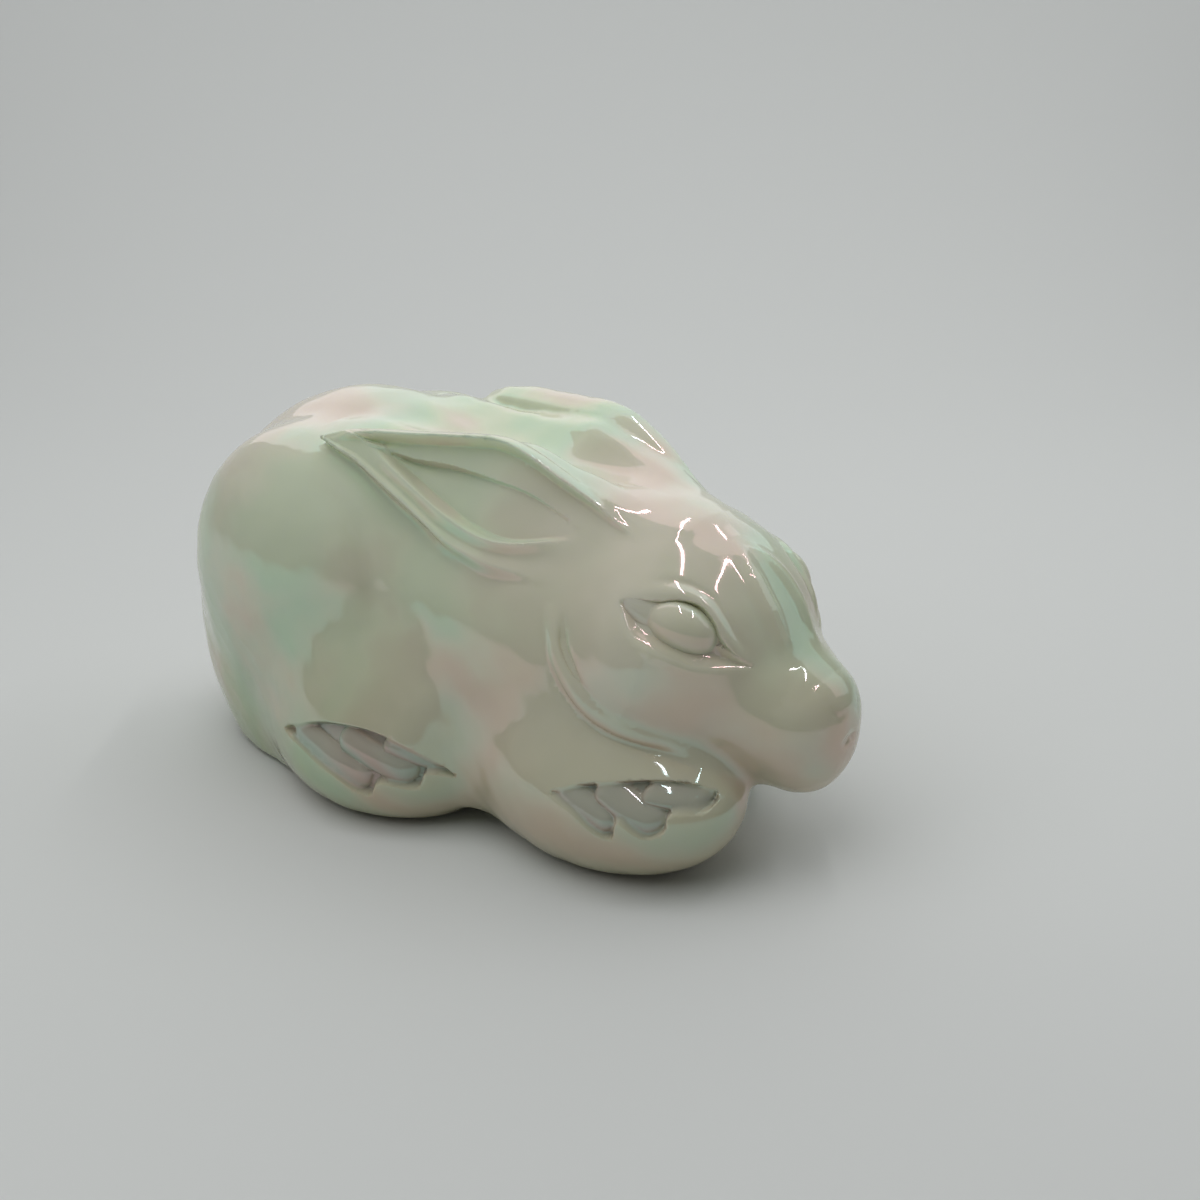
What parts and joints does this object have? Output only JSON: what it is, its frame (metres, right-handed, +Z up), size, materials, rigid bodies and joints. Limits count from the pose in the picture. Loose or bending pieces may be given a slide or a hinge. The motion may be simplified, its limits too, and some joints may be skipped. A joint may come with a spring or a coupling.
{
  "type": "rabbit figurine",
  "caption": "Solid pressed-glass rabbit lying flat with its ears laid back, milky white with an iridescent lustre; an ornament or paperweight that rests on its flat base.",
  "frame": {"origin": "centre of the overall box at the base, on the surface the rabbit rests on", "axes": "+X the way the rabbit faces, +Y its left, +Z up"},
  "size_m": [0.11, 0.0584, 0.0534],
  "materials": {
    "lustre_glass": "milky white pressed glass, fire polished and gloss, under a thin iridescent lustre film that shifts between pale green, pink and yellow"
  },
  "bodies": {
    "root": {"body": "lustre_glass", "head": "lustre_glass", "left_ear": "lustre_glass", "right_ear": "lustre_glass", "left_eye": "lustre_glass", "right_eye": "lustre_glass", "left_haunch": "lustre_glass", "right_haunch": "lustre_glass", "left_hind_foot": "lustre_glass", "right_hind_foot": "lustre_glass", "left_fore_foot": "lustre_glass", "right_fore_foot": "lustre_glass", "tail": "lustre_glass"}
  },
  "joints": []
}
